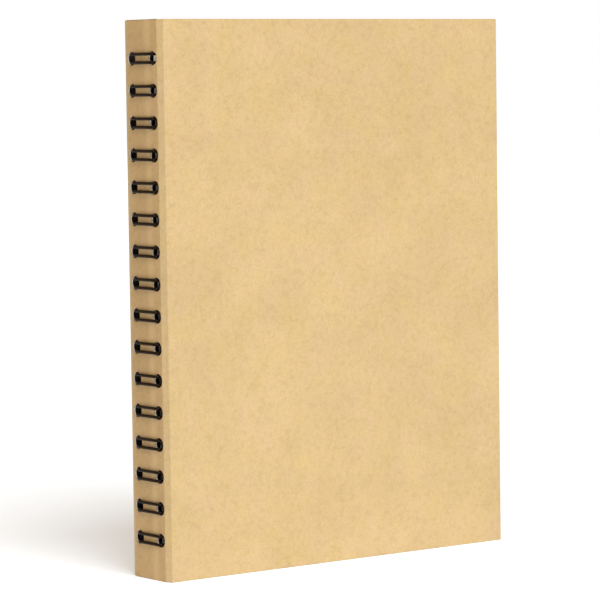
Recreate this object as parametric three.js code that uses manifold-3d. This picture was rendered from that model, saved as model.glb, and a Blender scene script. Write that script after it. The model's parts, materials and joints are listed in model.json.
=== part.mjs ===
// A hardcover sketchbook bound with a twin-loop wire, standing on its tail.
// The case is three boards wrapped in kraft paper: front cover, spine and back cover.
// The wire crosses the outside of the spine between two rows of punched holes, runs round
// inside the case through the punched leaves, and closes out of sight beside the back cover.
// Millimetres. +Z is the height, +X runs from the spine to the fore edge, -Y is the front.

import * as THREE from "three";
import { mergeVertices } from "three/addons/utils/BufferGeometryUtils.js";
import Module from "manifold-3d";

const wasm = await Module();
wasm.setup();

// The case, measured from the outer face of the spine (x = 0) and from the tail (z = 0)
const CASE_HEIGHT = 222;
const CASE_WIDTH = 172;
const CASE_THICKNESS = 27;
const COVER_BOARD = 1.9;
const SPINE_BOARD = 0.45;
const WRAP = 0.25;
const LINING = 0.2;
const GLUE = 0.05; // clear gap that stands for each glue line
const TURN_IN = 12; // wrap folded over onto the inside of the boards
const LINING_MARGIN = 3; // the lining stops this far from the edges of the case
const SPINE_HALF_WIDTH = 10.45;
const JOINT_DEPTH = 1.3; // the cover boards start this far behind the spine's face
const CREASE_X = 0.3; // where the paper joint starts, beside the spine's edge
const CREASE_Y = 10.8;

// The twin-loop wire, two loops to the inch
const LOOP_PITCH = 12.7;
const LOOP_COUNT = 16;
const ROW_RAISE = 0.5; // the row of loops sits this far above the middle of the case
const WIRE_RADIUS = 0.6;
const WIRE_SIDES = 6;
const STRAND_SPACING = 3.37;
const RING_RADIUS = 9.8;
const RING_X = 11; // centre of the ring, behind the spine's face
const HOLE_ROW_Y = 7.4; // the two rows of spine holes, either side of the middle
const SPINE_HOLE_RADIUS = 2.8;
const SPINE_HOLE_SIDES = 8;
const OUTER_RUN_X = -0.8; // where the wire lies across the outside of the spine
const OUTER_BEND_RADIUS = 1.5;
const OUTER_BEND_STEPS = 2;
const LEG_ANGLE = 112; // degrees round the ring where the wire leaves it for a spine hole
const LEG_END_X = 0.9;
const BRIDGE_ANGLE = 84; // degrees round the ring where neighbouring loops are bridged
const BRIDGE_BEND_RADIUS = 1.2;
const BRIDGE_BEND_STEPS = 2;
const TIP_GAP = 5; // degrees between the bridges and the closed tips of the loops
const TIP_STEPS = 4;
const RING_STEPS = 8;

// The leaves, each one a bundle of sheets that turns as one
const LEAF_COUNT = 20;
const LEAF_PITCH = 0.84;
const LEAF_THICKNESS = 0.74;
const PAGE_WIDTH = 155;
const PAGE_HEIGHT = 216;
const BOUND_EDGE = 2.4; // bound edge of the middle leaves, from the ring's centre
const PUNCH_MARGIN = 2.8; // paper left between the bound edge and the punched holes
const PUNCH_WIDTH = 6;
const PUNCH_HEIGHT = 5.6;
const SHINGLE = 0.5; // share of the ring's curve that the outer leaves follow

const KRAFT = { color: 0xc9a877, roughness: 0.85, metalness: 0 };
const GREY_BOARD = { color: 0xb9b0a0, roughness: 0.9, metalness: 0 };
const LINING_PAPER = { color: 0x2b2622, roughness: 0.85, metalness: 0 };
const DRAWING_PAPER = { color: 0xf4f0e6, roughness: 0.9, metalness: 0 };
const BLACK_WIRE = { color: 0x111113, roughness: 0.35, metalness: 0.6 };

const wireOuterX = OUTER_RUN_X - WIRE_RADIUS;
const sketchbook = new THREE.Group();
sketchbook.position.x = -(CASE_WIDTH + wireOuterX) / 2;

function addPart(name, geometry, look) {
  const mesh = new THREE.Mesh(geometry, new THREE.MeshStandardMaterial(look));
  mesh.name = name;
  sketchbook.add(mesh);
}

// Closed geometry in and out of the boolean library

function toSolid(geometry) {
  const bare = geometry.clone();
  bare.deleteAttribute("normal");
  bare.deleteAttribute("uv");
  const merged = mergeVertices(bare, 1e-5);
  const vertProperties = new Float32Array(merged.attributes.position.array);
  const triVerts = new Uint32Array(merged.index.array);
  return new wasm.Manifold(new wasm.Mesh({ numProp: 3, vertProperties, triVerts }));
}

function toGeometry(solid) {
  const mesh = solid.getMesh();
  const geometry = new THREE.BufferGeometry();
  geometry.setAttribute("position", new THREE.BufferAttribute(mesh.vertProperties, 3));
  geometry.setIndex(new THREE.BufferAttribute(mesh.triVerts, 1));
  geometry.computeVertexNormals();
  return geometry;
}

function join(geometries) {
  const solids = geometries.map(toSolid);
  return solids.reduce((whole, piece) => whole.add(piece));
}

// A box from pairs of limits along each axis, given in either order
function box(xs, ys, zs) {
  const low = [xs, ys, zs].map((limits) => Math.min(...limits));
  const high = [xs, ys, zs].map((limits) => Math.max(...limits));
  const size = high.map((value, axis) => value - low[axis]);
  const geometry = new THREE.BoxGeometry(...size);
  return geometry.translate(...low.map((value, axis) => value + size[axis] / 2));
}

// Depths of each layer of a wrapped board, inward from its outer face
function layersOf(board) {
  const wrapInner = WRAP;
  const boardOuter = wrapInner + GLUE;
  const boardInner = boardOuter + board;
  const turnInOuter = boardInner + GLUE;
  const turnInInner = turnInOuter + WRAP;
  const liningOuter = turnInInner + GLUE;
  const liningInner = liningOuter + LINING;
  return { wrapInner, boardOuter, boardInner, turnInOuter, turnInInner, liningOuter, liningInner };
}

const boardEdge = WRAP + GLUE;
const boardHeight = [boardEdge, CASE_HEIGHT - boardEdge];
const liningHeight = [LINING_MARGIN, CASE_HEIGHT - LINING_MARGIN];

// The front cover is on the -Y side (side -1) and the back cover on the +Y side (side 1)

const coverLayers = layersOf(COVER_BOARD);

function coverDepth(side, from, to) {
  return [from, to].map((depth) => side * (CASE_THICKNESS / 2 - depth));
}

// The slanting strip of wrap between the spine's edge and the cover board
function paperJoint(side) {
  const slant = new THREE.Vector2(JOINT_DEPTH - CREASE_X, CASE_THICKNESS / 2 - CREASE_Y).normalize();
  const outline = [
    new THREE.Vector2(CREASE_X, CREASE_Y),
    new THREE.Vector2(JOINT_DEPTH, CASE_THICKNESS / 2),
    new THREE.Vector2(JOINT_DEPTH + WRAP, CASE_THICKNESS / 2),
    new THREE.Vector2(JOINT_DEPTH + WRAP, CASE_THICKNESS / 2 - WRAP),
    new THREE.Vector2(JOINT_DEPTH + slant.y * WRAP, CASE_THICKNESS / 2 - slant.x * WRAP),
    new THREE.Vector2(CREASE_X + slant.y * WRAP, CREASE_Y - slant.x * WRAP),
  ];
  const shape = new THREE.Shape(outline.map((corner) => new THREE.Vector2(corner.x, side * corner.y)));
  return new THREE.ExtrudeGeometry(shape, { depth: CASE_HEIGHT, bevelEnabled: false });
}

function coverWrap(side) {
  const width = [JOINT_DEPTH, CASE_WIDTH];
  const height = [0, CASE_HEIGHT];
  const folds = coverDepth(side, 0, coverLayers.turnInInner);
  const turnIns = coverDepth(side, coverLayers.turnInOuter, coverLayers.turnInInner);
  return join([
    box(width, coverDepth(side, 0, WRAP), height),
    box(width, folds, [0, WRAP]),
    box(width, folds, [CASE_HEIGHT - WRAP, CASE_HEIGHT]),
    box([CASE_WIDTH - WRAP, CASE_WIDTH], folds, height),
    box(width, turnIns, [0, TURN_IN]),
    box(width, turnIns, [CASE_HEIGHT - TURN_IN, CASE_HEIGHT]),
    box([CASE_WIDTH - TURN_IN, CASE_WIDTH], turnIns, height),
    paperJoint(side),
  ]);
}

function coverBoard(side) {
  const width = [JOINT_DEPTH + boardEdge, CASE_WIDTH - boardEdge];
  return box(width, coverDepth(side, coverLayers.boardOuter, coverLayers.boardInner), boardHeight);
}

function coverLining(side) {
  const width = [JOINT_DEPTH + boardEdge, CASE_WIDTH - LINING_MARGIN];
  return box(width, coverDepth(side, coverLayers.liningOuter, coverLayers.liningInner), liningHeight);
}

for (const [name, side] of [["front", -1], ["back", 1]]) {
  addPart(name + "_cover_board", coverBoard(side), GREY_BOARD);
  addPart(name + "_cover_wrap", toGeometry(coverWrap(side)), KRAFT);
  addPart(name + "_cover_lining", coverLining(side), LINING_PAPER);
}

// The spine, punched with two rows of round holes

function loopHeight(loop) {
  return CASE_HEIGHT / 2 + ROW_RAISE + (loop - (LOOP_COUNT - 1) / 2) * LOOP_PITCH;
}

const loops = Array.from({ length: LOOP_COUNT }, (_, loop) => loop);
const spineLayers = layersOf(SPINE_BOARD);

const spinePunch = join(
  loops.flatMap((loop) =>
    [-HOLE_ROW_Y, HOLE_ROW_Y].map((rowY) => {
      const length = 4 * spineLayers.liningInner;
      const punch = new THREE.CylinderGeometry(
        SPINE_HOLE_RADIUS,
        SPINE_HOLE_RADIUS,
        length,
        SPINE_HOLE_SIDES,
      );
      return punch.rotateZ(Math.PI / 2).translate(0, rowY, loopHeight(loop));
    }),
  ),
);

const spineWidth = [-SPINE_HALF_WIDTH, SPINE_HALF_WIDTH];
const spineFolds = [0, spineLayers.turnInInner];
const spineTurnIns = [spineLayers.turnInOuter, spineLayers.turnInInner];
const spineWrap = join([
  box([0, WRAP], spineWidth, [0, CASE_HEIGHT]),
  box(spineFolds, spineWidth, [0, WRAP]),
  box(spineFolds, spineWidth, [CASE_HEIGHT - WRAP, CASE_HEIGHT]),
  box(spineTurnIns, spineWidth, [0, TURN_IN]),
  box(spineTurnIns, spineWidth, [CASE_HEIGHT - TURN_IN, CASE_HEIGHT]),
]);
const spineBoard = box([spineLayers.boardOuter, spineLayers.boardInner], spineWidth, boardHeight);
const spineLining = box([spineLayers.liningOuter, spineLayers.liningInner], spineWidth, liningHeight);

addPart("spine_wrap", toGeometry(spineWrap.subtract(spinePunch)), KRAFT);
addPart("spine_board", toGeometry(toSolid(spineBoard).subtract(spinePunch)), GREY_BOARD);
addPart("spine_lining", toGeometry(toSolid(spineLining).subtract(spinePunch)), LINING_PAPER);

// The wire, one length from end to end. Each loop is two strands joined at a closed tip, and
// bridges beside the back cover join it to its neighbours.

function ringPoint(degrees) {
  const angle = THREE.MathUtils.degToRad(degrees);
  return new THREE.Vector2(RING_X + RING_RADIUS * Math.cos(angle), RING_RADIUS * Math.sin(angle));
}

function ringDegrees(length) {
  return THREE.MathUtils.radToDeg(length / RING_RADIUS);
}

// Where the wire leaves the ring, runs out through a front spine hole and bends across the spine
function outerBend() {
  const ringEnd = ringPoint(-LEG_ANGLE);
  const leg = new THREE.Vector2(LEG_END_X, -HOLE_ROW_Y).sub(ringEnd).normalize();
  const corner = ringEnd.clone().addScaledVector(leg, (OUTER_RUN_X - ringEnd.x) / leg.x);
  const turn = Math.acos(leg.y);
  const reach = OUTER_BEND_RADIUS * Math.tan(turn / 2);
  const centre = new THREE.Vector2(OUTER_RUN_X + OUTER_BEND_RADIUS, corner.y + reach);
  return Array.from({ length: OUTER_BEND_STEPS + 1 }, (_, step) => {
    const angle = Math.PI + turn * (1 - step / OUTER_BEND_STEPS);
    const spoke = new THREE.Vector2(Math.cos(angle), Math.sin(angle));
    return centre.clone().addScaledVector(spoke, OUTER_BEND_RADIUS);
  });
}

const rootAngle = BRIDGE_ANGLE - ringDegrees(BRIDGE_BEND_RADIUS);
const tipAngle = BRIDGE_ANGLE + TIP_GAP + ringDegrees(STRAND_SPACING / 2);

// One strand in plan, from its root beside the back cover, round the fore side of the ring,
// out at the front row of spine holes, in at the back row and on to the closed tip
function strandPlan() {
  const ring = Array.from({ length: RING_STEPS + 1 }, (_, step) =>
    ringPoint(THREE.MathUtils.lerp(rootAngle, -LEG_ANGLE, step / RING_STEPS)),
  );
  const frontBend = outerBend();
  const backBend = frontBend.map((corner) => new THREE.Vector2(corner.x, -corner.y)).reverse();
  return [...ring, ...frontBend, ...backBend, ringPoint(LEG_ANGLE), ringPoint(tipAngle)];
}

function raise(plan, height) {
  return plan.map((corner) => new THREE.Vector3(corner.x, corner.y, height));
}

// The half-round closed tip, from the lower strand up to the upper one
function tipBend(middleHeight) {
  const radius = STRAND_SPACING / 2;
  return Array.from({ length: TIP_STEPS - 1 }, (_, step) => {
    const turn = (Math.PI * (step + 1)) / TIP_STEPS;
    const plan = ringPoint(tipAngle - ringDegrees(radius * Math.sin(turn)));
    return new THREE.Vector3(plan.x, plan.y, middleHeight - radius * Math.cos(turn));
  });
}

// The quarter-round bend from a strand's root into the bridge; direction 1 goes up, -1 down
function bridgeBend(strandHeight, direction) {
  return Array.from({ length: BRIDGE_BEND_STEPS }, (_, step) => {
    const turn = ((Math.PI / 2) * (step + 1)) / BRIDGE_BEND_STEPS;
    const plan = ringPoint(rootAngle + ringDegrees(BRIDGE_BEND_RADIUS * Math.sin(turn)));
    const rise = direction * BRIDGE_BEND_RADIUS * (1 - Math.cos(turn));
    return new THREE.Vector3(plan.x, plan.y, strandHeight + rise);
  });
}

function loopPath(loop) {
  const plan = strandPlan();
  const middle = loopHeight(loop);
  const lower = middle - STRAND_SPACING / 2;
  const upper = middle + STRAND_SPACING / 2;
  const fromBridge = loop > 0 ? bridgeBend(lower, -1).reverse() : [];
  const toBridge = loop < LOOP_COUNT - 1 ? bridgeBend(upper, 1) : [];
  const lowerStrand = raise(plan, lower);
  const upperStrand = raise(plan, upper).reverse();
  return [...fromBridge, ...lowerStrand, ...tipBend(middle), ...upperStrand, ...toBridge];
}

// A curve that steps exactly from one of its points to the next
class StationCurve extends THREE.CatmullRomCurve3 {
  getUtoTmapping(u) {
    return u;
  }
}

const stations = loops.flatMap(loopPath);
const wireSection = new THREE.Shape(
  Array.from({ length: WIRE_SIDES }, (_, side) => {
    const angle = (2 * Math.PI * side) / WIRE_SIDES;
    return new THREE.Vector2(WIRE_RADIUS * Math.cos(angle), WIRE_RADIUS * Math.sin(angle));
  }),
);
const wire = new THREE.ExtrudeGeometry(wireSection, {
  steps: stations.length - 1,
  extrudePath: new StationCurve(stations),
});
addPart("twin_loop_wire", wire, BLACK_WIRE);

// The leaves, punched to ride on the ring. Each turns about the ring's centre, and the outer
// ones sit a little nearer the spine, as the ring's curve draws them.

function leaf(number) {
  const fromMiddle = (number - (LEAF_COUNT + 1) / 2) * LEAF_PITCH;
  const drawnIn = SHINGLE * (RING_RADIUS - Math.sqrt(RING_RADIUS ** 2 - fromMiddle ** 2));
  const page = new THREE.Shape([
    new THREE.Vector2(0, 0),
    new THREE.Vector2(PAGE_WIDTH, 0),
    new THREE.Vector2(PAGE_WIDTH, PAGE_HEIGHT),
    new THREE.Vector2(0, PAGE_HEIGHT),
  ]);
  const tail = (CASE_HEIGHT - PAGE_HEIGHT) / 2;
  page.holes = loops.map((loop) => {
    const middle = loopHeight(loop) - tail;
    const low = middle - PUNCH_HEIGHT / 2;
    const high = middle + PUNCH_HEIGHT / 2;
    return new THREE.Path([
      new THREE.Vector2(PUNCH_MARGIN, low),
      new THREE.Vector2(PUNCH_MARGIN, high),
      new THREE.Vector2(PUNCH_MARGIN + PUNCH_WIDTH, high),
      new THREE.Vector2(PUNCH_MARGIN + PUNCH_WIDTH, low),
    ]);
  });
  const sheet = new THREE.ExtrudeGeometry(page, { depth: LEAF_THICKNESS, bevelEnabled: false });
  sheet.rotateX(Math.PI / 2);
  return sheet.translate(RING_X + BOUND_EDGE - drawnIn, fromMiddle + LEAF_THICKNESS / 2, tail);
}

for (let number = 1; number <= LEAF_COUNT; number += 1) {
  addPart("leaf_" + String(number).padStart(2, "0"), leaf(number), DRAWING_PAPER);
}

export default sketchbook;
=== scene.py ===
import json
import math
import random

import bmesh
import bpy
from mathutils import Matrix, Vector


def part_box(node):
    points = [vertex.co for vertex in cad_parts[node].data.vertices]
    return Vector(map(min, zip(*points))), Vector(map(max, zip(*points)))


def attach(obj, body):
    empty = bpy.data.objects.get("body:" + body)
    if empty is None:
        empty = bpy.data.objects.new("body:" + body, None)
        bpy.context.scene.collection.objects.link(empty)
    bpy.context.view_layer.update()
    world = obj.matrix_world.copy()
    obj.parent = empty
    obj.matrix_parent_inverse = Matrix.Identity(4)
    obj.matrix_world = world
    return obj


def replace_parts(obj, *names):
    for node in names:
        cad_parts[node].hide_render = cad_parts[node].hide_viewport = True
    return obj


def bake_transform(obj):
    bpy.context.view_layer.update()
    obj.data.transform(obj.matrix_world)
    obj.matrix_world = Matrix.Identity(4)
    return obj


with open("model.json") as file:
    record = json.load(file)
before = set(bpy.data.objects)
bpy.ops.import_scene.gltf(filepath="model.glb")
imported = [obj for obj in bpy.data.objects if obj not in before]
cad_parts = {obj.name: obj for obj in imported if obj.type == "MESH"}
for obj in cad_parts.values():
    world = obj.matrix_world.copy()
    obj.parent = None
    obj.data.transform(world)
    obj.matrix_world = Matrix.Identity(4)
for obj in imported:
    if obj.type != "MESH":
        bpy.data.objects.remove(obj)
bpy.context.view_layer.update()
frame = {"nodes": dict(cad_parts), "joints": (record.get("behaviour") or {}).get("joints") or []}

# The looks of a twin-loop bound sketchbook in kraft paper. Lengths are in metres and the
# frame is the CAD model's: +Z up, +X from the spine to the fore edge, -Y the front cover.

MM = 0.001
chance = random.Random(7)

# Places read from the frame
joint_at = {joint["name"]: Vector(joint["pos_m"]) for joint in frame["joints"]}
RING_X = joint_at["leaf_01_turn"].x
SPINE_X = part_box("spine_wrap")[0].x
FORE_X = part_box("front_cover_wrap")[1].x
HEAD_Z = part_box("front_cover_wrap")[1].z
OUTER_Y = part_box("back_cover_wrap")[1].y
BOARD_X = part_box("front_cover_board")[0].x
INNER_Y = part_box("back_cover_lining")[0].y
SPINE_INNER_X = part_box("spine_lining")[1].x
LINING_TAIL_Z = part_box("spine_lining")[0].z
LINING_FORE_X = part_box("front_cover_lining")[1].x
LEAF_NAMES = sorted(name for name in frame["nodes"] if name.startswith("leaf_"))

# The layers of the case
WRAP = 0.25 * MM
LINING = 0.2 * MM
GLUE = 0.05 * MM
TURN_IN = 12 * MM
EDGE_ROUND = 0.55 * MM
JOINT_CORNER_Y = OUTER_Y - 3.0 * MM  # where the paper joint would meet the plane of the spine
JOINT_CORNER_X = SPINE_X + 1.3 * MM  # where it would meet the plane of the cover
JOINT_PLATE_Y = 10.38 * MM  # the flat of the spine ends here and the creased strip starts
COVER_PLATE_X = JOINT_CORNER_X + 0.45 * MM

# The wire and its punching
LOOP_PITCH = 12.7 * MM
LOOP_COUNT = 16
ROW_RAISE = 0.5 * MM  # the row of loops sits this far above the middle of the case
WIRE_RADIUS = 0.6 * MM
STRAND_SPACING = 3.37 * MM
RING_RADIUS = 9.8 * MM
HOLE_ROW_Y = 7.4 * MM
HOLE_RADIUS = 2.8 * MM
LIGHTER_LINE_Y = -3.1 * MM
SPINE_PAINTED_SHADE = (0.95, 0.86, 0.75)  # painted shade: the spine faces away from the key light, so its colour is made darker and warmer
OUTER_RUN_X = SPINE_X - 0.8 * MM
OUTER_BEND_RADIUS = 1.5 * MM
LEG_ANGLE = math.radians(112)
LEG_END_X = SPINE_X + 0.9 * MM
BRIDGE_ANGLE = math.radians(84)
BRIDGE_BEND_RADIUS = 1.2 * MM
TIP_GAP = math.radians(5)

# The sheets
SHEETS_PER_LEAF = 4
PUNCH_MARGIN = 2.8 * MM
PUNCH_WIDTH = 6 * MM
PUNCH_HEIGHT = 5.6 * MM
PUNCH_ROUND = 0.9 * MM


def loop_height(loop):
    return HEAD_Z / 2 + ROW_RAISE + (loop - (LOOP_COUNT - 1) / 2) * LOOP_PITCH


# ---------------------------------------------------------------- node helpers


def new_material(name):
    material = bpy.data.materials.new(name)
    material.use_nodes = True
    nodes = material.node_tree.nodes
    return material, nodes, material.node_tree.links, nodes["Principled BSDF"]


def object_mm(nodes, links, stretch=(1, 1, 1)):
    """Object coordinates in millimetres, stretched along each axis."""
    place = nodes.new("ShaderNodeTexCoord")
    scale = nodes.new("ShaderNodeVectorMath")
    scale.operation = "MULTIPLY"
    scale.inputs[1].default_value = [value / MM for value in stretch]
    links.new(place.outputs["Object"], scale.inputs[0])
    return scale.outputs[0]


def noise(nodes, links, coordinates, per_mm, detail=3.0, roughness=0.5, distortion=0.0):
    texture = nodes.new("ShaderNodeTexNoise")
    texture.inputs["Scale"].default_value = per_mm
    texture.inputs["Detail"].default_value = detail
    texture.inputs["Roughness"].default_value = roughness
    texture.inputs["Distortion"].default_value = distortion
    links.new(coordinates, texture.inputs["Vector"])
    return texture.outputs["Fac"]


def ramp(nodes, links, value, stops):
    """A colour ramp over (place, grey or colour) stops."""
    node = nodes.new("ShaderNodeValToRGB")
    elements = node.color_ramp.elements
    while len(elements) < len(stops):
        elements.new(0.5)
    for element, (place, colour) in zip(elements, stops):
        element.position = place
        rgb = (colour,) * 3 if isinstance(colour, (int, float)) else colour
        element.color = (*rgb, 1)
    links.new(value, node.inputs["Fac"])
    return node.outputs["Color"]


def mix(nodes, links, factor, a, b, blend="MIX"):
    node = nodes.new("ShaderNodeMix")
    node.data_type = "RGBA"
    node.blend_type = blend
    for socket, value in ((node.inputs[0], factor), (node.inputs[6], a), (node.inputs[7], b)):
        if isinstance(value, bpy.types.NodeSocket):
            links.new(value, socket)
        elif isinstance(value, (int, float)):
            socket.default_value = value
        else:
            socket.default_value = (*value, 1)
    return node.outputs[2]


def math_node(nodes, links, operation, a, b):
    node = nodes.new("ShaderNodeMath")
    node.operation = operation
    for socket, value in zip(node.inputs, (a, b)):
        if isinstance(value, bpy.types.NodeSocket):
            links.new(value, socket)
        else:
            socket.default_value = value
    return node.outputs[0]


def bump(nodes, links, shader, height, depth, strength=1.0):
    node = nodes.new("ShaderNodeBump")
    node.inputs["Strength"].default_value = strength
    node.inputs["Distance"].default_value = depth
    links.new(height, node.inputs["Height"])
    links.new(node.outputs["Normal"], shader.inputs["Normal"])


def fibres(nodes, links, sets):
    """Fine crossing fibres, brightest along each strand, from stretched noise in several directions."""
    total = None
    for turn, per_mm in sets:
        place = nodes.new("ShaderNodeTexCoord")
        turned = nodes.new("ShaderNodeMapping")
        turned.inputs["Rotation"].default_value = turn
        turned.inputs["Scale"].default_value = (9 / MM, 9 / MM, 1 / MM)
        links.new(place.outputs["Object"], turned.inputs["Vector"])
        strand = noise(nodes, links, turned.outputs[0], per_mm, 2.0, 0.6, 0.4)
        total = strand if total is None else math_node(nodes, links, "MAXIMUM", total, strand)
    return total


# ------------------------------------------------------------------- materials


def lighter_line(nodes, links, place, colour):
    """The paper a little lighter in an uneven line down the length of the spine."""
    parts = nodes.new("ShaderNodeSeparateXYZ")
    links.new(place, parts.inputs[0])
    stray = noise(nodes, links, object_mm(nodes, links, (0, 0.2, 0.03)), 1.0, 3.0)
    across = math_node(nodes, links, "ADD", parts.outputs["Y"], math_node(nodes, links, "MULTIPLY", stray, 1.2))
    off = math_node(nodes, links, "ABSOLUTE", math_node(nodes, links, "SUBTRACT", across, LIGHTER_LINE_Y / MM), 0)
    line = ramp(nodes, links, math_node(nodes, links, "DIVIDE", off, 3.2), ((0.2, 1.0), (1.0, 0.0)))
    strength = math_node(nodes, links, "MULTIPLY", line, 0.4)
    return mix(nodes, links, strength, colour, (0.76, 0.59, 0.33))


def kraft_material(name, lighter_line_and_painted_shade=False):
    material, nodes, links, shader = new_material(name)
    place = object_mm(nodes, links)
    cloud = noise(nodes, links, place, 0.045, 4.0, 0.55)
    hue = noise(nodes, links, place, 0.11, 4.0, 0.6)
    mottle = noise(nodes, links, place, 0.42, 5.0, 0.62, 0.3)
    speck = noise(nodes, links, place, 2.6, 2.0, 0.6)
    strands = fibres(nodes, links, (((0.1, 0.3, 0.2), 0.3), ((0.9, 0.2, 0.7), 0.27), ((-0.8, 0.5, 0.3), 0.33)))
    colour = ramp(nodes, links, cloud, ((0.3, (0.540, 0.394, 0.197)), (0.7, (0.594, 0.438, 0.225))))
    tint = ramp(nodes, links, hue, ((0.32, (1.0, 1.02, 0.80)), (0.68, (1.0, 0.97, 1.12))))
    colour = mix(nodes, links, 0.42, colour, tint, "MULTIPLY")
    shade = ramp(nodes, links, mottle, ((0.3, (0.86, 0.82, 0.74)), (0.5, 1.0), (0.72, (1.07, 1.07, 1.07))))
    colour = mix(nodes, links, 0.62, colour, shade, "MULTIPLY")
    grain = noise(nodes, links, place, 1.1, 3.0, 0.7)
    grain = ramp(nodes, links, grain, ((0.32, (0.91, 0.88, 0.82)), (0.66, (1.05, 1.05, 1.05))))
    colour = mix(nodes, links, 0.8, colour, grain, "MULTIPLY")
    light_strands = ramp(nodes, links, strands, ((0.62, 0.0), (0.76, 1.0)))
    colour = mix(nodes, links, math_node(nodes, links, "MULTIPLY", light_strands, 0.10), colour, (0.86, 0.68, 0.42))
    dark_specks = ramp(nodes, links, speck, ((0.66, 0.0), (0.8, 1.0)))
    colour = mix(nodes, links, math_node(nodes, links, "MULTIPLY", dark_specks, 0.16), colour, (0.30, 0.18, 0.08))
    if lighter_line_and_painted_shade:
        colour = lighter_line(nodes, links, place, colour)
        # Painted shade over the whole spine: darker and warmer, as it faces away from the key light
        colour = mix(nodes, links, 1.0, colour, SPINE_PAINTED_SHADE, "MULTIPLY")
    links.new(colour, shader.inputs["Base Color"])
    links.new(ramp(nodes, links, mottle, ((0.3, 0.52), (0.7, 0.64))), shader.inputs["Roughness"])
    shader.inputs["Specular IOR Level"].default_value = 0.42
    height = math_node(nodes, links, "ADD", strands, math_node(nodes, links, "MULTIPLY", speck, 0.5))
    bump(nodes, links, shader, height, 0.02 * MM, 0.6)
    return material


def board_material():
    """Binder's board: pale pulp in thin layers, with darker flecks, seen where it is cut."""
    material, nodes, links, shader = new_material("grey_board")
    place = object_mm(nodes, links)
    pulp = noise(nodes, links, place, 1.6, 4.0, 0.7)
    layers = noise(nodes, links, object_mm(nodes, links, (5, 0.4, 0.4)), 1.2, 2.0)
    colour = ramp(nodes, links, pulp, ((0.3, (0.90, 0.85, 0.74)), (0.7, (0.97, 0.94, 0.86))))
    colour = mix(nodes, links, 0.35, colour, ramp(nodes, links, layers, ((0.35, 0.86), (0.65, 1.0))), "MULTIPLY")
    links.new(colour, shader.inputs["Base Color"])
    links.new(ramp(nodes, links, pulp, ((0.3, 0.86), (0.7, 0.96))), shader.inputs["Roughness"])
    shader.inputs["Specular IOR Level"].default_value = 0.2
    bump(nodes, links, shader, pulp, 0.05 * MM, 0.7)
    return material


def paper_material(name, low, high, tooth_per_mm, tooth_depth):
    material, nodes, links, shader = new_material(name)
    place = object_mm(nodes, links)
    cloud = noise(nodes, links, place, 0.12, 4.0, 0.6)
    tooth = noise(nodes, links, place, tooth_per_mm, 3.0, 0.65)
    colour = ramp(nodes, links, cloud, ((0.3, low), (0.7, high)))
    grain = ramp(nodes, links, tooth, ((0.3, 0.95), (0.7, 1.0)))
    colour = mix(nodes, links, 1.0, colour, grain, "MULTIPLY")
    links.new(colour, shader.inputs["Base Color"])
    links.new(ramp(nodes, links, tooth, ((0.3, 0.82), (0.7, 0.93))), shader.inputs["Roughness"])
    shader.inputs["Specular IOR Level"].default_value = 0.25
    bump(nodes, links, shader, tooth, tooth_depth, 0.6)
    return material


def wire_material():
    """Black nylon coating over steel wire, smooth with faint draw marks."""
    material, nodes, links, shader = new_material("black_wire")
    place = object_mm(nodes, links)
    flow = noise(nodes, links, place, 0.8, 3.0, 0.55)
    orange_peel = noise(nodes, links, place, 3.5, 2.0, 0.5)
    # The coating's own black, warmed brown by painted reflection of the kraft paper around the wire
    links.new(
        ramp(nodes, links, flow, ((0.3, (0.010, 0.0045, 0.0015)), (0.7, (0.016, 0.008, 0.0030)))),
        shader.inputs["Base Color"],
    )
    links.new(ramp(nodes, links, flow, ((0.3, 0.34), (0.7, 0.46))), shader.inputs["Roughness"])
    shader.inputs["Specular IOR Level"].default_value = 0.06
    shader.inputs["Coat Weight"].default_value = 0.05
    shader.inputs["Coat Roughness"].default_value = 0.12
    bump(nodes, links, shader, orange_peel, 0.01 * MM, 0.5)
    return material


KRAFT = kraft_material("kraft_wrap")
# The spine's copy of the kraft, with an uneven lighter line and painted shade
SPINE_KRAFT = kraft_material("kraft_wrap_spine", lighter_line_and_painted_shade=True)
BOARD = board_material()
# Painted shade: the lining paper is coloured near black, so the inside of the case seen through the spine holes
# stays dark
PAINTED_SHADE_LINING = paper_material("lining_paper", (0.022, 0.017, 0.014), (0.034, 0.027, 0.022), 3.0, 0.02 * MM)
DRAWING_PAPER = paper_material("drawing_paper", (0.80, 0.77, 0.69), (0.86, 0.83, 0.75), 4.5, 0.03 * MM)
BLACK_WIRE = wire_material()


# -------------------------------------------------------------- mesh building


def finish_piece(name, mesh, material, body=None, smooth=None):
    """Makes an object of a mesh, paints it and lets it ride on a body."""
    piece = bpy.data.objects.new(name, mesh)
    bpy.context.scene.collection.objects.link(piece)
    mesh.materials.clear()
    mesh.materials.append(material)
    if smooth is not None:
        mesh.shade_smooth()
        mesh.set_sharp_from_angle(angle=math.radians(smooth))
    if body:
        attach(piece, body)
    return piece


def join_meshes(name, meshes):
    """One mesh of several, with each one's own vertices."""
    whole = bmesh.new()
    for mesh in meshes:
        whole.from_mesh(mesh)
        bpy.data.meshes.remove(mesh)
    joined = bpy.data.meshes.new(name)
    whole.to_mesh(joined)
    whole.free()
    return joined


def fillet(corner, before, after, radius, steps):
    """Points of a round corner between two straight runs, in the plane."""
    to_before = (before - corner).normalized()
    to_after = (after - corner).normalized()
    half = to_before.angle(to_after) / 2
    reach = radius / math.tan(half)
    centre = corner + (to_before + to_after).normalized() * (radius / math.sin(half))
    start = corner + to_before * reach - centre
    end = corner + to_after * reach - centre
    sweep = start.angle(end)
    points = []
    for step in range(steps + 1):
        t = step / steps
        spoke = start * (math.sin((1 - t) * sweep) / math.sin(sweep))
        spoke += end * (math.sin(t * sweep) / math.sin(sweep))
        points.append(centre + spoke)
    return points


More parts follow.
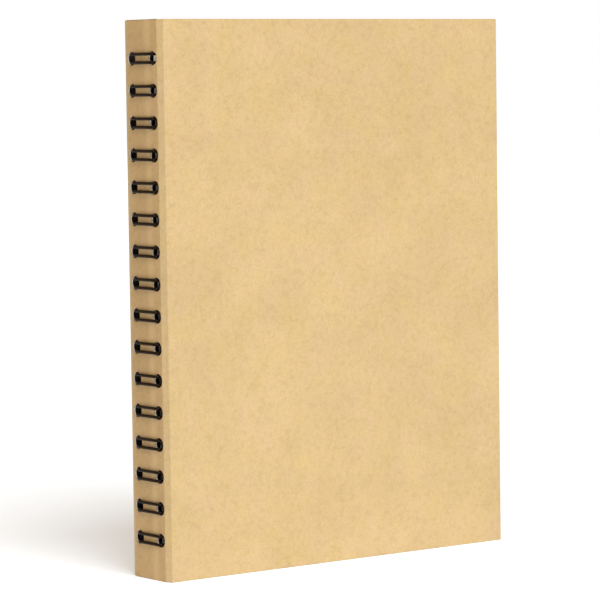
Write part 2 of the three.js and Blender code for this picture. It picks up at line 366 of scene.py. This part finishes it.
def rounded_line(corners, radii, steps=5):
    """A run of straight lines with its inner corners rounded."""
    points = [corners[0]]
    for index, radius in enumerate(radii, start=1):
        points += fillet(corners[index], corners[index - 1], corners[index + 1], radius, steps)
    points.append(corners[-1])
    return points


def subdivided(line, step):
    """The same line with points at most a step apart."""
    points = [line[0]]
    for start, end in zip(line, line[1:]):
        parts = math.ceil((end - start).length / step)
        points += [start.lerp(end, part / parts) for part in range(1, parts + 1)]
    return points


def thicken(line, thickness):
    """A closed outline: the line, and back along a line that much to its left."""
    offset = []
    for index, at in enumerate(line):
        before = line[max(index - 1, 0)]
        after = line[min(index + 1, len(line) - 1)]
        along_in = (at - before).normalized() if index else (after - at).normalized()
        along_out = (after - at).normalized() if index < len(line) - 1 else along_in
        along = (along_in + along_out).normalized()
        left = Vector((-along.y, along.x))
        offset.append(at + left * (thickness / max(along.dot(along_out), 0.5)))
    return line + offset[::-1]


def prism(name, outline, heights, end_dip=None):
    """A closed solid from an outline in plan, with a ring of vertices at each height."""
    bm = bmesh.new()
    rings = []
    for height in heights:
        ring = []
        for at in outline:
            dip = end_dip(at, height) if end_dip else 0
            ring.append(bm.verts.new((at.x, at.y, height + dip)))
        rings.append(ring)
    count = len(outline)
    for lower, upper in zip(rings, rings[1:]):
        for index in range(count):
            follow = (index + 1) % count
            bm.faces.new((lower[index], lower[follow], upper[follow], upper[index]))
    bm.faces.new(rings[0][::-1])
    bm.faces.new(rings[-1])
    bmesh.ops.recalc_face_normals(bm, faces=bm.faces)
    bmesh.ops.triangulate(bm, faces=[face for face in bm.faces if len(face.verts) > 4])
    mesh = bpy.data.meshes.new(name)
    bm.to_mesh(mesh)
    bm.free()
    return mesh


def circle_points(centre, radius, count):
    turns = [2 * math.pi * index / count for index in range(count)]
    return [centre + Vector((math.cos(turn), math.sin(turn))) * radius for turn in turns]


def rectangle_points(low, high, radius=0.0, steps=3):
    corners = [Vector((low.x, low.y)), Vector((high.x, low.y)), Vector((high.x, high.y)), Vector((low.x, high.y))]
    if not radius:
        return corners
    points = []
    for index, corner in enumerate(corners):
        points += fillet(corner, corners[index - 1], corners[(index + 1) % 4], radius, steps)
    return points


def punched_plate(name, outline, holes, thickness):
    """A flat plate in its own XY plane with holes cut through it."""
    curve = bpy.data.curves.new(name, "CURVE")
    curve.dimensions = "2D"
    curve.fill_mode = "BOTH"
    curve.extrude = thickness / 2 / MM  # drawn in millimetres, so that thin webs are filled
    for points in [outline, *holes]:
        spline = curve.splines.new("POLY")
        spline.points.add(len(points) - 1)
        for target, at in zip(spline.points, points):
            target.co = (at.x / MM, at.y / MM, 0, 1)
        spline.use_cyclic_u = True
    holder = bpy.data.objects.new(name, curve)
    bpy.context.scene.collection.objects.link(holder)
    bpy.context.view_layer.update()
    evaluated = holder.evaluated_get(bpy.context.evaluated_depsgraph_get())
    mesh = bpy.data.meshes.new_from_object(evaluated)
    bpy.data.objects.remove(holder)
    bpy.data.curves.remove(curve)
    mesh.transform(Matrix.Scale(MM, 4))
    bm = bmesh.new()
    bm.from_mesh(mesh)
    bmesh.ops.remove_doubles(bm, verts=bm.verts, dist=1e-7)
    bmesh.ops.recalc_face_normals(bm, faces=bm.faces)
    bm.to_mesh(mesh)
    bm.free()
    return mesh


# Turns a sheet's own X, Y and Z into the frame's X, Z and -Y
FACING_FRONT = Matrix(((1, 0, 0, 0), (0, 0, -1, 0), (0, 1, 0, 0), (0, 0, 0, 1)))


# ------------------------------------------------------------------- the case


def box_mesh(low, high):
    bm = bmesh.new()
    bmesh.ops.create_cube(bm, size=1)
    size = high - low
    for vert in bm.verts:
        vert.co = Vector([low[axis] + (vert.co[axis] + 0.5) * size[axis] for axis in range(3)])
    return bm


def subtract(mesh, cutters):
    """The mesh with each cutter mesh taken away from it."""
    body = bpy.data.objects.new("cut", mesh)
    bpy.context.scene.collection.objects.link(body)
    helpers = []
    for cutter in cutters:
        helper = bpy.data.objects.new("cutter", cutter)
        bpy.context.scene.collection.objects.link(helper)
        modifier = body.modifiers.new("cut", "BOOLEAN")
        modifier.operation = "DIFFERENCE"
        modifier.solver = "EXACT"
        modifier.object = helper
        helpers.append(helper)
    bpy.context.view_layer.update()
    result = bpy.data.meshes.new_from_object(body.evaluated_get(bpy.context.evaluated_depsgraph_get()))
    for used in [body, *helpers]:
        bpy.data.objects.remove(used)
    return result


def to_mesh(name, bm):
    mesh = bpy.data.meshes.new(name)
    bm.to_mesh(mesh)
    bm.free()
    return mesh


def folded_shell(name, low, high, rounded, cavity, window):
    """Wrap folded over the edges of a board: a box with some edges rounded, hollowed for the
    board, and open at the window that the turn-ins leave."""
    bm = box_mesh(low, high)
    edges = [edge for edge in bm.edges if rounded((edge.verts[0].co + edge.verts[1].co) / 2)]
    bmesh.ops.bevel(bm, geom=edges, offset=EDGE_ROUND, segments=5, profile=0.5, affect="EDGES")
    shell = to_mesh(name, bm)
    return subtract(shell, [to_mesh("cavity", box_mesh(*cavity)), to_mesh("window", box_mesh(*window))])


def in_order(a, b):
    """The low and high corners of the box between two corners."""
    return Vector(map(min, a, b)), Vector(map(max, a, b))


def cover_wrap(side, name):
    """The kraft paper round one cover board, from the joint to the fore edge. side is -1 or 1."""
    turned_y = INNER_Y + LINING + GLUE  # inner face of the turn-ins
    spine_end = COVER_PLATE_X
    low, high = in_order((spine_end, side * turned_y, 0), (FORE_X, side * OUTER_Y, HEAD_Z))
    past = spine_end - 5 * MM
    cavity = in_order(
        (past, side * (turned_y + WRAP), WRAP),
        (FORE_X - WRAP, side * (OUTER_Y - WRAP), HEAD_Z - WRAP),
    )
    window = in_order(
        (past, side * (turned_y - 5 * MM), TURN_IN),
        (FORE_X - TURN_IN, side * (turned_y + 2 * WRAP), HEAD_Z - TURN_IN),
    )
    shell = folded_shell(name, low, high, lambda middle: middle.x > spine_end + MM, cavity, window)
    return finish_piece(name, shell, KRAFT, name.replace("_wrap", ""), smooth=35)


def plan_line(side, corners):
    """Corners given for the back cover's side, mirrored for the front."""
    return [Vector((x, side * y)) for x, y in corners]


def outline_of(side, line, thickness):
    """A strip's outline with its thickness on the inner side of the book."""
    return thicken(line, thickness) if side < 0 else thicken(line, -thickness)


def joint_strip(side, cover):
    """The creased paper joint between the spine and a cover."""
    corners = plan_line(
        side,
        (
            (SPINE_X, JOINT_PLATE_Y),
            (SPINE_X, JOINT_CORNER_Y),
            (JOINT_CORNER_X, OUTER_Y),
            (COVER_PLATE_X, OUTER_Y),
        ),
    )
    line = subdivided(rounded_line(corners, (0.4 * MM, 0.6 * MM), steps=6), 0.12 * MM)
    slack = 0.5 * MM  # the paper draws in a little at its head and tail
    middle = (Vector((SPINE_X, side * JOINT_CORNER_Y)) + Vector((JOINT_CORNER_X, side * OUTER_Y))) / 2
    half = (Vector((JOINT_CORNER_X, side * OUTER_Y)) - middle).length

    def end_dip(at, height):
        near_middle = max(0.0, 1 - ((at - middle).length / half) ** 2)
        if height > HEAD_Z - MM:
            return -slack * near_middle
        return slack * near_middle if height < MM else 0

    inset = 0.12 * MM
    heights = [0, inset, *(HEAD_Z * step / 24 for step in range(1, 24)), HEAD_Z - inset, HEAD_Z]
    mesh = prism(cover + "_joint", outline_of(side, line, WRAP), heights, end_dip)
    piece = finish_piece(cover + "_joint", mesh, KRAFT, smooth=35)
    if side < 0:
        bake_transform(piece)
    else:
        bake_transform(piece)
    return piece


def cover_lining(side, cover):
    """The lining inside a cover, turned down over the board's spine edge into the joint."""
    joint_run = Vector((JOINT_CORNER_X - SPINE_X, OUTER_Y - JOINT_CORNER_Y)).normalized()
    inward = Vector((joint_run.y, -joint_run.x))
    middle_depth = WRAP + GLUE + LINING / 2
    foot = Vector((SPINE_X, JOINT_CORNER_Y)) + inward * middle_depth
    start = foot + joint_run * 0.95 * MM
    edge_x = BOARD_X - GLUE - LINING / 2
    turn = foot + joint_run * ((edge_x - foot.x) / joint_run.x)
    face_y = INNER_Y + LINING / 2
    corners = plan_line(side, ((start.x, start.y), (turn.x, turn.y), (edge_x, face_y), (LINING_FORE_X, face_y)))
    line = rounded_line(corners, (0.3 * MM, 0.3 * MM), steps=4)
    centred = outline_of(side, line, LINING / 2)[len(line):][::-1]
    outline = outline_of(side, centred, -LINING)
    heights = [LINING_TAIL_Z, HEAD_Z - LINING_TAIL_Z]
    mesh = prism(cover + "_lining", outline, heights)
    return finish_piece(cover + "_lining", mesh, PAINTED_SHADE_LINING, cover, smooth=35)


for side, cover in ((-1, "front_cover"), (1, "back_cover")):
    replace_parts(cover_wrap(side, cover + "_wrap"), cover + "_wrap")
    joint_strip(side, cover)
    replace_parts(cover_lining(side, cover), cover + "_lining")
    frame["nodes"][cover + "_board"].data.materials.clear()
    frame["nodes"][cover + "_board"].data.materials.append(BOARD)


# ------------------------------------------------------------------- the spine

FOLD_REACH = 2 * MM  # how far each end fold comes round onto the spine's outer face
BOARD_SETBACK = 0.2 * MM  # the board stops this far short, clear of the rounded end folds


def hole_cutters(outer_x, thickness, rim):
    """A closed punch for each spine hole, flared at the outer face to ease the hole's rim."""
    clear = 0.3 * MM
    stations = (
        (outer_x - clear, HOLE_RADIUS + rim),
        (outer_x, HOLE_RADIUS + rim),
        (outer_x + rim, HOLE_RADIUS),
        (outer_x + thickness + clear, HOLE_RADIUS),
    )
    bm = bmesh.new()
    for loop in range(LOOP_COUNT):
        for row in (-HOLE_ROW_Y, HOLE_ROW_Y):
            centre = Vector((row, loop_height(loop)))
            rings = []
            for x, radius in stations:
                points = circle_points(centre, radius, 40)
                rings.append([bm.verts.new((x, at.x, at.y)) for at in points])
            for near, far in zip(rings, rings[1:]):
                for index, vert in enumerate(near):
                    follow = (index + 1) % len(near)
                    bm.faces.new((vert, near[follow], far[follow], far[index]))
            bm.faces.new(rings[0][::-1])
            bm.faces.new(rings[-1])
    bmesh.ops.recalc_face_normals(bm, faces=bm.faces)
    return to_mesh("punch", bm)


def spine_plate(name, tail, outer_x, thickness, rim):
    """A flat layer of the spine, punched with the two rows of holes."""
    low = Vector((outer_x, -JOINT_PLATE_Y, tail))
    high = Vector((outer_x + thickness, JOINT_PLATE_Y, HEAD_Z - tail))
    return subtract(to_mesh(name, box_mesh(low, high)), [hole_cutters(outer_x, thickness, rim)])


def spine_fold(name, head):
    """The wrap turned over the head or tail of the spine board, as a C-shaped strip."""
    depth = SPINE_INNER_X - LINING - GLUE - SPINE_X
    corners = [Vector(at) for at in ((0, FOLD_REACH), (0, 0), (depth, 0), (depth, TURN_IN))]
    line = rounded_line(corners, (EDGE_ROUND, EDGE_ROUND), steps=5)
    outline = thicken(line, WRAP)
    mesh = prism(name, outline, [-JOINT_PLATE_Y, JOINT_PLATE_Y])
    for vert in mesh.vertices:
        x, z, y = vert.co
        vert.co = (SPINE_X + x, y, HEAD_Z - z if head else z)
    return mesh


spine_meshes = [spine_plate("spine_wrap", FOLD_REACH, SPINE_X, WRAP, 0.07 * MM)]
spine_meshes += [spine_fold("spine_tail_fold", False), spine_fold("spine_head_fold", True)]
spine_wrap = finish_piece("spine_wrap", join_meshes("spine_wrap", spine_meshes), SPINE_KRAFT, "spine", 35)
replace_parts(spine_wrap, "spine_wrap")

board_low, board_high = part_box("spine_board")
board_depth = board_high.x - board_low.x
board_tail = board_low.z + BOARD_SETBACK
board_mesh = spine_plate("spine_board", board_tail, board_low.x, board_depth, 0.03 * MM)
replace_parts(finish_piece("spine_board", board_mesh, BOARD, "spine", 35), "spine_board")

lining_mesh = spine_plate("spine_lining", LINING_TAIL_Z, SPINE_INNER_X - LINING, LINING, 0.03 * MM)
spine_lining = finish_piece("spine_lining", lining_mesh, PAINTED_SHADE_LINING, "spine", 35)
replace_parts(spine_lining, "spine_lining")


# -------------------------------------------------------------------- the wire


def ring_point(angle):
    return Vector((RING_X + RING_RADIUS * math.cos(angle), RING_RADIUS * math.sin(angle)))


def outer_bend(steps):
    """Where the wire leaves a spine hole and bends across the spine, drawn for the front row."""
    ring_end = ring_point(-LEG_ANGLE)
    leg = (Vector((LEG_END_X, -HOLE_ROW_Y)) - ring_end).normalized()
    corner = ring_end + leg * ((OUTER_RUN_X - ring_end.x) / leg.x)
    return fillet(corner, ring_end, corner + Vector((0, 1)), OUTER_BEND_RADIUS, steps)


def strand_plan():
    root = BRIDGE_ANGLE - BRIDGE_BEND_RADIUS / RING_RADIUS
    tip = BRIDGE_ANGLE + TIP_GAP + STRAND_SPACING / 2 / RING_RADIUS
    steps = 36
    plan = [ring_point(root + (-LEG_ANGLE - root) * step / steps) for step in range(steps + 1)]
    front = outer_bend(8)
    back = [Vector((at.x, -at.y)) for at in reversed(front)]
    plan += front + back
    plan += [ring_point(LEG_ANGLE + (tip - LEG_ANGLE) * step / 3) for step in range(4)]
    return plan


def bend_at(root_angle, direction, strand_height, rise):
    """The quarter-round bend from a strand's root into a bridge."""
    points = []
    for step in range(1, 7):
        turn = math.pi / 2 * step / 6
        plan = ring_point(root_angle + direction * BRIDGE_BEND_RADIUS * math.sin(turn) / RING_RADIUS)
        points.append(Vector((plan.x, plan.y, strand_height + rise * BRIDGE_BEND_RADIUS * (1 - math.cos(turn)))))
    return points


def tip_bend(middle):
    """The closed, half-round tip of a loop."""
    radius = STRAND_SPACING / 2
    tip = BRIDGE_ANGLE + TIP_GAP + radius / RING_RADIUS
    points = []
    for step in range(1, 12):
        turn = math.pi * step / 12
        plan = ring_point(tip - radius * math.sin(turn) / RING_RADIUS)
        points.append(Vector((plan.x, plan.y, middle - radius * math.cos(turn))))
    return points


def wire_path():
    root = BRIDGE_ANGLE - BRIDGE_BEND_RADIUS / RING_RADIUS
    path = []
    for loop in range(LOOP_COUNT):
        middle = loop_height(loop)
        lower = middle - STRAND_SPACING / 2
        upper = middle + STRAND_SPACING / 2
        plan = strand_plan()
        if loop > 0:
            path += bend_at(root, 1, lower, -1)[::-1]
        path += [Vector((at.x, at.y, lower)) for at in plan]
        path += tip_bend(middle)
        path += [Vector((at.x, at.y, upper)) for at in reversed(plan)]
        if loop < LOOP_COUNT - 1:
            path += bend_at(root, 1, upper, 1)
    return path


def tube(name, path, radius, sides):
    """A round tube with closed ends, its section carried along the path without twisting."""
    bm = bmesh.new()
    rings = []
    side_axis = None
    for index, at in enumerate(path):
        ahead = path[min(index + 1, len(path) - 1)] - path[max(index - 1, 0)]
        along = ahead.normalized()
        if side_axis is None:
            side_axis = along.orthogonal().normalized()
        side_axis = (side_axis - along * side_axis.dot(along)).normalized()
        up_axis = along.cross(side_axis)
        ring = []
        for step in range(sides):
            turn = 2 * math.pi * step / sides
            ring.append(bm.verts.new(at + (side_axis * math.cos(turn) + up_axis * math.sin(turn)) * radius))
        rings.append(ring)
    for lower, upper in zip(rings, rings[1:]):
        for step in range(sides):
            follow = (step + 1) % sides
            bm.faces.new((lower[step], lower[follow], upper[follow], upper[step]))
    bm.faces.new(rings[0][::-1])
    bm.faces.new(rings[-1])
    bmesh.ops.recalc_face_normals(bm, faces=bm.faces)
    return to_mesh(name, bm)


wire_mesh = tube("twin_loop_wire", wire_path(), WIRE_RADIUS, 14)
wire = finish_piece("twin_loop_wire", wire_mesh, BLACK_WIRE, "spine", 50)
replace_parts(wire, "twin_loop_wire")


# ------------------------------------------------------------------- the leaves


def sheet_template(width, height, tail):
    """One punched sheet lying in the XZ plane, its bound edge at x = 0 and its tail at z = 0."""
    holes = []
    for loop in range(LOOP_COUNT):
        middle = loop_height(loop) - tail
        low = Vector((PUNCH_MARGIN, middle - PUNCH_HEIGHT / 2))
        high = Vector((PUNCH_MARGIN + PUNCH_WIDTH, middle + PUNCH_HEIGHT / 2))
        holes.append(rectangle_points(low, high, PUNCH_ROUND))
    return rectangle_points(Vector((0, 0)), Vector((width, height))), holes


def leaf(name):
    """A bundle of sheets, each one cut and gathered a little unevenly."""
    low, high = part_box(name)
    outline, holes = sheet_template(high.x - low.x, high.z - low.z, low.z)
    step = (high.y - low.y) / SHEETS_PER_LEAF
    thickness = step - 0.02 * MM
    plate = punched_plate(name, outline, holes, thickness)
    plate.transform(FACING_FRONT)
    meshes = []
    for index in range(SHEETS_PER_LEAF):
        sheet = plate.copy()
        shift_x = chance.uniform(-0.16, 0.16) * MM
        shift_z = chance.uniform(-0.1, 0.1) * MM
        place = Vector((low.x + shift_x, low.y + step * (index + 0.5), low.z + shift_z))
        sheet.transform(Matrix.Translation(place))
        meshes.append(sheet)
    bpy.data.meshes.remove(plate)
    piece = finish_piece(name, join_meshes(name, meshes), DRAWING_PAPER, name)
    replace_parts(piece, name)


for leaf_name in LEAF_NAMES:
    leaf(leaf_name)


# ------------------------------------------------------- floor, lights, camera

AMBIENT_LIGHT = 0.42
AMBIENT_TINT = (1.0, 0.83, 0.66)
KEY_LIGHT = 2.8
FLOOR_GLOW = 0.3  # a light table: the floor lights the foot of the book a little


def stage_material():
    material, nodes, links, shader = new_material("studio_white")
    shader.inputs["Base Color"].default_value = (0.82, 0.88, 0.95, 1)
    shader.inputs["Roughness"].default_value = 0.9
    shader.inputs["Emission Color"].default_value = (1, 1, 1, 1)
    shader.inputs["Emission Strength"].default_value = FLOOR_GLOW
    return material


def studio_floor():
    """A wide, flat, pale floor."""
    bm = bmesh.new()
    bmesh.ops.create_grid(bm, x_segments=1, y_segments=1, size=6)
    floor = bpy.data.objects.new("floor", to_mesh("floor", bm))
    bpy.context.scene.collection.objects.link(floor)
    floor.data.materials.append(stage_material())


def studio():
    """Even white surroundings, and one broad soft light from the front left, high up."""
    world = bpy.data.worlds.new("studio")
    world.use_nodes = True
    nodes, links = world.node_tree.nodes, world.node_tree.links
    light_path = nodes.new("ShaderNodeLightPath")
    strength = nodes.new("ShaderNodeMapRange")
    strength.inputs["To Min"].default_value = AMBIENT_LIGHT
    strength.inputs["To Max"].default_value = 1.0
    links.new(light_path.outputs["Is Camera Ray"], strength.inputs["Value"])
    links.new(strength.outputs["Result"], nodes["Background"].inputs["Strength"])
    colour = mix(nodes, links, light_path.outputs["Is Camera Ray"], AMBIENT_TINT, (1.0, 1.0, 1.0))
    links.new(colour, nodes["Background"].inputs["Color"])
    bpy.context.scene.world = world
    light = bpy.data.lights.new("key", "SUN")
    light.energy = KEY_LIGHT
    light.angle = math.radians(40)
    holder = bpy.data.objects.new("key", light)
    bpy.context.scene.collection.objects.link(holder)
    azimuth, elevation = math.radians(-12), math.radians(45)
    towards = Vector(
        (
            math.sin(azimuth) * math.cos(elevation),
            -math.cos(azimuth) * math.cos(elevation),
            math.sin(elevation),
        )
    )
    holder.rotation_euler = (-towards).to_track_quat("-Z", "Y").to_euler()


def camera():
    """The view from the spine side of the front cover, a little above level."""
    azimuth, elevation, roll = math.radians(-36.95), math.radians(4.06), math.radians(-0.82)
    distance = 1276 * MM
    image_side, focal_pixels, sensor = 600, 3109, 36
    target = Vector((SPINE_X + 76.2 * MM, 0, 107.35 * MM))
    back = Vector(
        (
            math.sin(azimuth) * math.cos(elevation),
            -math.cos(azimuth) * math.cos(elevation),
            math.sin(elevation),
        )
    )
    data = bpy.data.cameras.new("camera")
    data.sensor_width = sensor
    data.lens = focal_pixels / image_side * sensor
    holder = bpy.data.objects.new("camera", data)
    bpy.context.scene.collection.objects.link(holder)
    level = (-back).to_track_quat("-Z", "Y").to_matrix()
    turned = (level @ Matrix.Rotation(roll, 3, "Z")).to_4x4()
    holder.matrix_world = Matrix.Translation(target + back * distance) @ turned
    bpy.context.scene.camera = holder


studio_floor()
studio()
camera()
bpy.context.scene.view_settings.view_transform = "Standard"
